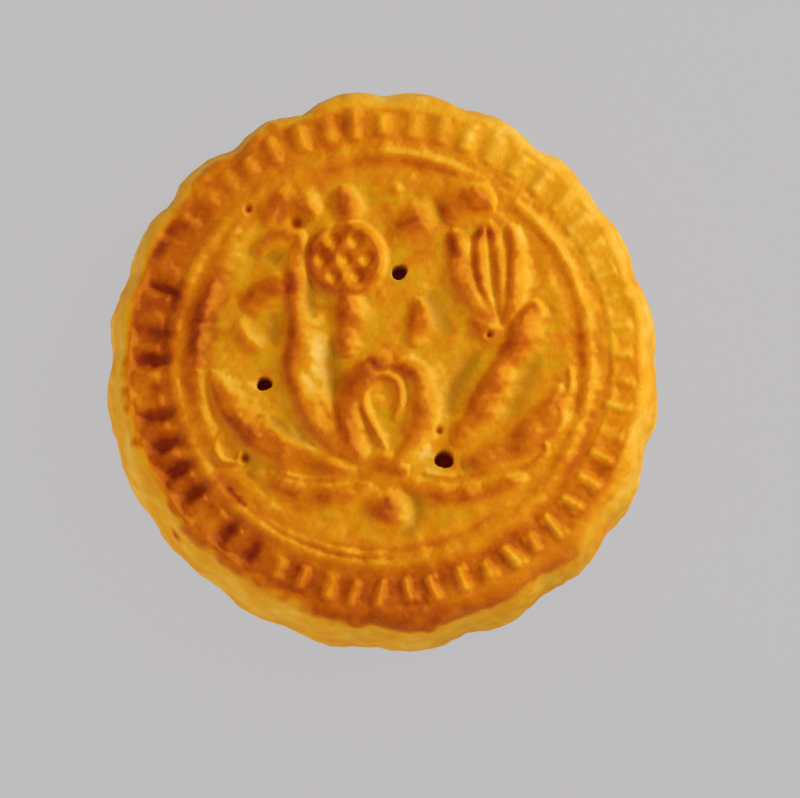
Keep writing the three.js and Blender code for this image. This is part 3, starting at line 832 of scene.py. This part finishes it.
# Each mark is its path, its half width, and how much browner it is, or paler if that is negative.
WASH_AND_HIGHLIGHT = [
    ([(-14.2, -4.0), (-12.6, -8.6), (-8.6, -12.8), (-4.6, -15.0)], 2.4, -0.17),
    # painted highlight down the first leaf's right flank, which faces the key light
    ([(-10.8, 4.4), (-10.6, -2.6), (-9.8, -9.6)], 2.0, -0.27),
    ([(4.4, -2.6), (5.6, -7.0), (4.8, -12.0), (3.6, -16.6)], 2.2, -0.16),
    ([(-2.6, -1.2), (0.5, -0.4), (3.4, -1.4)], 1.4, 0.28),
    ([(2.0, -16.8), (4.6, -14.4), (7.4, -17.8)], 1.7, -0.20),
    ([(-5.0, -18.2), (-0.5, -18.8), (3.4, -21.0)], 1.0, 0.14),
    ([(-3.4, -24.6), (1.0, -25.4)], 1.4, -0.14),
    ([(0.3, -20.2), (0.5, -22.2), (0.4, -24.6)], 1.4, 0.20),
    ([(23.4, -10.6), (20.6, -13.4)], 1.4, -0.12),
    ([(25.4, -4.4), (24.6, -7.8)], 1.3, 0.18),
    ([(-13.6, 12.2), (-13.4, 9.0)], 1.6, 0.16),
    ([(-15.6, 20.4), (-12.2, 19.8)], 1.4, 0.30),
    ([(-19.4, 19.4), (-19.8, 15.0), (-20.2, 10.0)], 1.3, -0.20),
    ([(3.6, 20.4), (4.0, 19.4)], 1.6, 0.14),
    ([(16.6, 1.6), (18.6, 0.4)], 2.0, 0.14),
    ([(9.6, 18.4), (10.2, 14.2)], 1.6, 0.22),
    ([(10.4, 18.0), (17.0, 18.8)], 1.4, 0.34),
    ([(9.4, 12.4), (12.0, 8.4), (15.4, 6.4)], 1.6, -0.14),
    ([(15.2, 14.6), (16.4, 6.8)], 2.4, -0.14),
    ([(19.4, 19.2), (19.6, 10.6)], 1.2, -0.16),
    ([(-10.4, 24.6), (-7.4, 28.0), (-8.0, 32.6)], 2.0, 0.12),
    ([(2.6, 26.6), (5.8, 22.4), (7.0, 17.6), (1.6, 14.2)], 1.9, 0.14),
    (arc(29.4, 222, 236), 0.9, 0.50), (arc(26.4, 266, 300), 2.4, 0.40), (arc(31.0, 268, 292), 1.4, 0.30),
    (arc(36.2, 292, 304), 1.2, 0.20), (arc(30.8, 244, 258), 1.2, 0.14), (arc(32.6, 348, 386), 1.2, 0.10),
    (arc(28.8, 342, 382), 0.8, 0.16), (arc(28.4, 78, 96), 0.7, 0.20), (arc(28.0, 144, 196), 0.7, 0.18),
    (arc(29.5, 176, 214), 0.5, 0.16), (arc(31.0, 104, 124), 1.0, 0.20), (arc(31.6, 128, 188), 0.8, 0.12),
    (arc(27.6, 250, 282), 1.6, 0.14), (arc(35.2, 257, 264), 1.5, -0.12), (arc(35.4, 223, 230), 1.5, -0.12),
    (arc(36.0, 112, 126), 1.6, 0.12), (arc(36.0, 134, 170), 1.8, -0.12), (arc(35.2, 344, 357), 1.6, 0.16),
    (arc(26.5, 82, 98), 1.4, 0.12),
    ([(-17.0, -16.4), (-13.6, -17.2)], 1.2, 0.14),
]
WASH_TAPER = 0.3
WASHED_ABOVE = 15.0  # marks are only laid on what stands higher than this
DRIP, DRIP_ROUNDNESS = ((-29.9, -25.3, 16.8), 1.1, 0.6), 2.5  # a drop that ran over the edge

washed = z > WASHED_ABOVE
wash_and_highlight = np.zeros(len(points))
wash_and_highlight[washed] = sum(stroke(points[washed, :2], *mark, WASH_TAPER, 0.0) for mark in WASH_AND_HIGHLIGHT)
wash_and_highlight += highest_dome(points, [DRIP], DRIP_ROUNDNESS)
print(len(WASH_AND_HIGHLIGHT), "brush marks")

# %% [markdown]
# ## Border, shoulder and base
#
# The border takes more heat than the field. Its troughs hold wash and are darker, partly painted shade
# between the bars, and its bars shed it and are paler, partly a painted highlight on their tops. Over the
# shoulder the brown ends in an uneven edge, lowest at the front. One smooth step would look like a
# dipped biscuit, so the height of that edge varies with the bearing and with the lumps.

# %% The border's toast
BAND_TOAST, BAND_DARK_SIDE, BAND_PALE_SIDE = 0.13, 0.10, -0.38  # for all of it, the dark side (partly browning, partly painted shade) and the pale side (painted light)
PIT_TOAST = 0.30
OPEN_AT = (130, 60)  # where bars and troughs differ most

toast_and_painted_light += band * (BAND_TOAST + BAND_DARK_SIDE * dark_side + BAND_PALE_SIDE * pale_side)
# Troughs are darker: held wash, and painted shade between the bars.
trough_wash_and_shade = band * (1 - smoothstep(raised_all, 0.1, 0.7)) * (1 - smoothstep(r_all, 36.0, 37.3))
opened = towards(turn_all, *OPEN_AT)
toast_and_painted_light += trough_wash_and_shade * (0.04 + 0.08 * opened) + PIT_TOAST * pit_all
# Bar tops are paler: shed wash, and a painted highlight on their tops.
bar_tops_shed_and_highlight = band * smoothstep(raised_all, 0.30, 0.8) * (r_all < RAIL_RADIUS)
toast_and_painted_light -= bar_tops_shed_and_highlight * (0.06 + 0.09 * opened + 0.03 * pale_side)
print("toast:", span(toast_and_painted_light))

# %% The shoulder's and the side's toast
# Bearing, size and spread of each stretch where something differs.
BROWN_DOWN_TO = 20.1  # the height that the brown reaches down to
BROWN_EDGE = [(168, -2.0, 28), (290, 1.0, 34), (12, 0.4, 25), (201, 0.6, 8), (252, 0.5, 8), (128, -0.5, 14),
              (140, -1.4, 7), (327, -0.9, 13)]
WAVY_AT, WAVY, WAVY_SIZE, WAVY_SEED = (132, 20), 0.8, 6.0, 65
FADE_LENGTH, LONGER_FADE = 0.7, [(210, 1.0, 20), (150, 0.5, 16)]
# The side is paler round the upper right, painted light towards the key light, with a painted highlight at
# 111 degrees, and browner at 142.
SIDE_TOAST, SIDE_TONES_AND_HIGHLIGHT = 0.20, [(55, -0.08, 62), (111, -0.08, 10), (142, 0.03, 22)]
FRONT_SHOULDER = [(168, 0.15, 28)]  # the shoulder is browner at the front
SIDE_BELOW = 19.0  # lower than this, a point is on the side

brown_down_to = BROWN_DOWN_TO + around(turn_all, BROWN_EDGE) + 0.3 * patches + 0.3 * speckle
brown_down_to -= WAVY * towards(turn_all, *WAVY_AT) * lumps(points, WAVY_SIZE, WAVY_SEED)
fade_length = FADE_LENGTH + around(turn_all, LONGER_FADE)
browned = smoothstep(z, brown_down_to - fade_length, brown_down_to + 0.5)
side_toast = SIDE_TOAST + around(turn_all, SIDE_TONES_AND_HIGHLIGHT) + 0.05 * patches + 0.03 * speckle
shoulder = (toast_and_painted_light + around(turn_all, FRONT_SHOULDER)) * browned + side_toast * (1 - browned)
outer = smoothstep(r_all, 36.4, 37.4)
toast_and_painted_light = np.where(z < SIDE_BELOW, shoulder, toast_and_painted_light + outer * (shoulder - toast_and_painted_light)) + wash_and_highlight
print("height where the brown ends:", span(brown_down_to))

# %% The base, and what is burnt
BASE_TOAST = 0.62
SINGED_TOAST = 0.95  # the toast in a burst bubble

base = 1 - smoothstep(z, 0.2, 1.6)
toast_and_painted_light = toast_and_painted_light * (1 - base) + base * (BASE_TOAST + 0.06 * patches)
burnt = np.concatenate([smoothstep(vent_share, 0.25, 0.7), off_field])
singed = np.concatenate([bubble_share, off_field])
toast_and_painted_light = np.clip(np.maximum(toast_and_painted_light, SINGED_TOAST * singed), 0, 1)
print("toast:", span(toast_and_painted_light))

# %% The egg wash is brushed on the top only
GLAZE_BELOW, GLAZE_FADE = 0.12, (17.0, 20.0)  # its share down the side, and where it fades
glaze = GLAZE_BELOW + (1 - GLAZE_BELOW) * smoothstep(z, *GLAZE_FADE)
print("points with full glaze:", int((glaze > 0.99).sum()))

# %% Dough in the wide hollows stays yellow
HOLLOW_SHARE, HOLLOW_LUMPS = 0.35, [(4.5, 0.30, 63), (1.8, 0.25, 64)]
hollow = (1 - smoothstep(raised_all, 0.05, 0.5)) * (1 - smoothstep(r_all, 24, 28)) * top
hollow *= np.clip(HOLLOW_SHARE + layered(points, HOLLOW_LUMPS), 0, 1)
hollow *= 1 - singed
valley_shade *= 1 - burnt
print("points in yellow hollows:", int((hollow > 0.5).sum()))

# %% Store all five on the mesh
# The toast carries painted light and shade as well as browning, and the valley share is painted shade.
shares = {"toast_and_painted_light": toast_and_painted_light, "burnt": burnt, "glaze": glaze, "hollow": hollow, "valley": valley_shade}
for name, values in shares.items():
    layer = mesh.attributes.new(name, "FLOAT", "POINT")
    layer.data.foreach_set("value", values.astype(np.float32))
print("stored:", ", ".join(shares))

# %% [markdown]
# ## Crust
#
# The crust is egg-washed pastry. Its colour runs from cream through gold to brown as the toast rises,
# and a fine mottle breaks that up. It could be made waxy with light under the skin, but a baked crust is
# nearly opaque, so a thin warm gloss is enough. The pores are bump, because they are smaller than the
# mesh's cells.

# %% Crust material
TOAST_COLOURS = [
    (0.00, (0.96, 0.57, 0.105, 1)),
    (0.10, (0.93, 0.49, 0.042, 1)),
    (0.20, (0.89, 0.41, 0.012, 1)),
    (0.35, (0.82, 0.31, 0.004, 1)),
    (0.50, (0.74, 0.215, 0.002, 1)),
    (0.65, (0.62, 0.138, 0.001, 1)),
    (0.80, (0.46, 0.074, 0.001, 1)),
    (1.00, (0.22, 0.016, 0.001, 1)),
]
HOLLOW_COLOUR = (0.75, 0.34, 0.003, 1)
# Painted shade in the narrow valleys between close ridges.
VALLEY_SHADE_COLOUR = (0.47, 0.175, 0.001, 1)
BURNT_COLOUR = (0.30, 0.035, 0.012, 1)
GLOSS, GLOSS_TINT = 0.16, (1.0, 0.78, 0.48, 1)

crust = bpy.data.materials.new("baked_crust")
crust.use_nodes = True
nodes, links = crust.node_tree.nodes, crust.node_tree.links
nodes.clear()


def feed(socket, value):
    """Links a socket to another node's output, or sets it to a number or a colour."""
    if isinstance(value, bpy.types.NodeSocket):
        links.new(value, socket)
    else:
        socket.default_value = value


def fill(shader_node, **sockets):
    """Feeds a node's inputs by name, with _ for a space, and returns the node."""
    for name, value in sockets.items():
        feed(shader_node.inputs[name.replace("_", " ")], value)
    return shader_node


def share_in(name):
    """The output of a node that reads one of the mesh's shares."""
    reader = nodes.new("ShaderNodeAttribute")
    reader.attribute_name = name
    return reader.outputs["Fac"]


skin = nodes.new("ShaderNodeBsdfPrincipled")
fill(skin, IOR=1.45, Specular_IOR_Level=GLOSS, Specular_Tint=GLOSS_TINT)
fill(nodes.new("ShaderNodeOutputMaterial"), Surface=skin.outputs["BSDF"])
where = nodes.new("ShaderNodeTexCoord").outputs["Object"]
print("made", crust.name)

# %% Glaze: shine and smoothness where the egg wash is
BARE_ROUGHNESS, WASHED_ROUGHNESS = 0.80, 0.42


def by_glaze(bare, washed):
    """A number that goes from bare to washed with the glaze."""
    blend = fill(nodes.new("ShaderNodeMapRange"), Value=share_in("glaze"), To_Min=bare, To_Max=washed)
    return blend.outputs["Result"]


fill(skin, Roughness=by_glaze(BARE_ROUGHNESS, WASHED_ROUGHNESS))
print("roughness from", WASHED_ROUGHNESS, "to", BARE_ROUGHNESS)

# %% Mottle: two sizes of noise added to the toast, less of it where there is no wash
MOTTLES = [(450.0, 0.12), (1300.0, 0.09)]  # turns per metre, and how far it moves the toast
BARE_MOTTLE = 0.45


def noise_in(scale, detail, roughness):
    """The output of a noise that is fixed to the cake."""
    noise = nodes.new("ShaderNodeTexNoise")
    return fill(noise, Vector=where, Scale=scale, Detail=detail, Roughness=roughness).outputs["Fac"]


def multiply_add(*terms):
    """The first term times the second, plus the third."""
    step = nodes.new("ShaderNodeMath")
    step.operation = "MULTIPLY_ADD"
    for socket, term in zip(step.inputs, terms):
        feed(socket, term)
    return step.outputs[0]


# The toast, with its painted light and shade, drives the colour.
level, mottle_share = share_in("toast_and_painted_light"), by_glaze(BARE_MOTTLE, 1.0)
for scale, amount in MOTTLES:
    spread = multiply_add(noise_in(scale, 3.0, 0.6), 2 * amount, -amount)
    level = multiply_add(spread, mottle_share, level)
print("mottle moves the toast by up to", sum(amount for _, amount in MOTTLES))

# %% Toast to colour
ramp = fill(nodes.new("ShaderNodeValToRGB"), Fac=level)
stops = ramp.color_ramp.elements
stops[0].position, stops[0].color = TOAST_COLOURS[0]
stops[1].position, stops[1].color = TOAST_COLOURS[-1]
for position, colour in TOAST_COLOURS[1:-1]:
    stops.new(position).color = colour
colour = ramp.outputs["Color"]
# The valley layer paints shade into the narrow valleys.
for name, over in [("hollow", HOLLOW_COLOUR), ("valley", VALLEY_SHADE_COLOUR), ("burnt", BURNT_COLOUR)]:
    layer = nodes.new("ShaderNodeMix")
    layer.data_type = "RGBA"
    colour = fill(layer, Factor=share_in(name), A=colour, B=over).outputs["Result"]
fill(skin, Base_Color=colour)
print("colour ramp with", len(stops), "stops")

# %% Pores
PORES_PER_METRE, PORE_DEPTH, PORE_STRENGTH = 1200.0, 0.00035, 0.6
pores = noise_in(PORES_PER_METRE, 4.0, 0.65)
bumps = fill(nodes.new("ShaderNodeBump"), Height=pores, Strength=PORE_STRENGTH, Distance=PORE_DEPTH)
fill(skin, Normal=bumps.outputs["Normal"])
mesh.materials.append(crust)
print("crust:", len(nodes), "nodes")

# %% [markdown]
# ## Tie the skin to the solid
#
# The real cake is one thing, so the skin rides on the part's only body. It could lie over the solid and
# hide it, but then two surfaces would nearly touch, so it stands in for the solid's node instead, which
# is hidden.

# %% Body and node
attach(cake, "root")
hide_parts("mooncake")
print(cake.name, "replaces the node mooncake")

# %% [markdown]
# ## Studio
#
# A plain pale floor and three soft lights. The key light comes from the upper right, low enough for the
# ridges to shade themselves, and two weaker, lower ones from the lower left and the lower right open up
# the side. The floor could be plain paper, but then the cake's shadow would be strong. It glows instead,
# so the shadow is faint.

# %% Floor
FLOOR_GREY = (0.527, 0.515, 0.521, 1)
FLOOR_GLOW = 0.95
FLOOR_SIZE = 4.0
bpy.ops.mesh.primitive_plane_add(size=FLOOR_SIZE)
floor = bpy.context.object
floor.name = "studio_floor"
paper = bpy.data.materials.new("floor_paper")
paper.use_nodes = True
fill(
    paper.node_tree.nodes["Principled BSDF"],
    Base_Color=(*[(1 - FLOOR_GLOW) * c for c in FLOOR_GREY[:3]], 1),
    Roughness=1.0,
    Specular_IOR_Level=0.0,
    Emission_Color=FLOOR_GREY,
    Emission_Strength=FLOOR_GLOW,
)
floor.data.materials.append(paper)
print("floor:", FLOOR_SIZE, "m wide")

# %% Light
ROOM_COLOUR, ROOM_LIGHT = (1.0, 0.98, 0.96, 1.0), 0.41
world = bpy.data.worlds.new("studio")
bpy.context.scene.world = world
world.use_nodes = True
fill(world.node_tree.nodes["Background"], Color=ROOM_COLOUR, Strength=ROOM_LIGHT)


def soft_light(name, azimuth, elevation, distance, size, energy):
    """A round light that looks at the cake. Azimuth is anticlockwise from the right, in degrees."""
    data = bpy.data.lights.new(name, "AREA")
    data.shape = "DISK"
    data.size = size
    data.energy = energy
    light = put(name, data)
    turn, tilt = math.radians(azimuth), math.radians(elevation)
    across, up = math.cos(tilt) * distance, math.sin(tilt) * distance
    light.location = (across * math.cos(turn), across * math.sin(turn), up)
    light.rotation_euler = (-light.location).to_track_quat("-Z", "Y").to_euler()
    print(name, "at", [round(c, 2) for c in light.location])


# Azimuth, elevation, distance, size and energy.
LIGHTS = {
    "key_light": (25, 42, 0.42, 0.34, 1.20),
    "left_light": (213, 14, 0.50, 0.24, 0.66),
    "right_light": (320, 12, 0.50, 0.24, 0.28),
}
for name, places in LIGHTS.items():
    soft_light(name, *places)

# %% [markdown]
# ## Camera
#
# The camera looks almost straight down, so that the face is nearly round and a strip of the side shows
# at the front. A short lens close by would do that too, but it would swell the middle, so the lens is
# long and stands far away.

# %% Place the camera
LENS, SENSOR = 300.0, 36.0
FRAME_WIDTH = 0.11609  # how much the camera takes in from side to side, at the cake
ELEVATION = math.radians(79)
AIM_HEIGHT = 0.0105
AIM_RIGHT, AIM_DOWN = 0.00230, 0.00405

view_up = Vector((0, math.sin(ELEVATION), math.cos(ELEVATION)))
view_back = Vector((0, -math.cos(ELEVATION), math.sin(ELEVATION)))
aim = Vector((AIM_RIGHT, 0, AIM_HEIGHT)) - AIM_DOWN * view_up
lens_data = bpy.data.cameras.new("camera")
lens_data.lens = LENS
lens_data.sensor_width = SENSOR
camera = put("camera", lens_data)
camera.location = aim + view_back * (FRAME_WIDTH * LENS / SENSOR)
camera.rotation_euler = view_back.to_track_quat("Z", "Y").to_euler()
bpy.context.scene.camera = camera
bpy.context.scene.view_settings.view_transform = "Standard"
print("camera", round(FRAME_WIDTH * LENS / SENSOR, 3), "m away")
